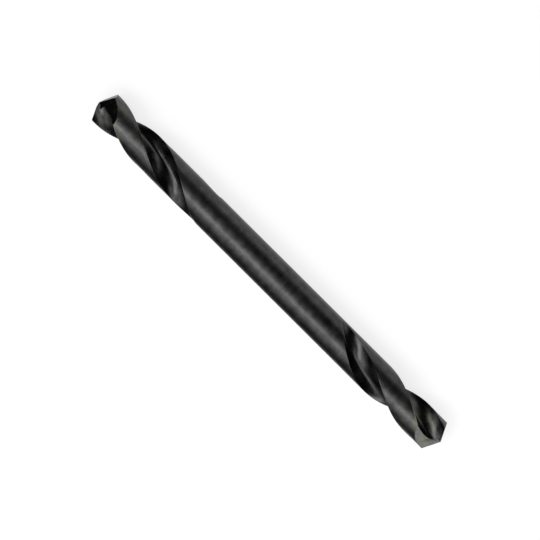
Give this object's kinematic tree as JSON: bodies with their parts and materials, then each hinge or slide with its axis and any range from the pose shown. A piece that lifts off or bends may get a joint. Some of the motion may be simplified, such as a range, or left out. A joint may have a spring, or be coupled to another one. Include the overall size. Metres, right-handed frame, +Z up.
{
  "type": "double-ended drill bit",
  "caption": "Short double-ended twist drill bit in black-oxide high-speed steel, with right-hand flutes and a split point on each end and a plain shank between.",
  "frame": {"origin": "the middle of the bar, on its axis", "axes": "+X along the bar from the near point to the far point; +Z up, square to the bar, towards the camera of the picture; +Y completes the frame"},
  "size_m": [0.055, 0.0042, 0.0042],
  "materials": {
    "tool_steel": "black oxide over ground high-speed steel, satin"
  },
  "bodies": {
    "root": {"drill_bit": "tool_steel"}
  },
  "joints": []
}
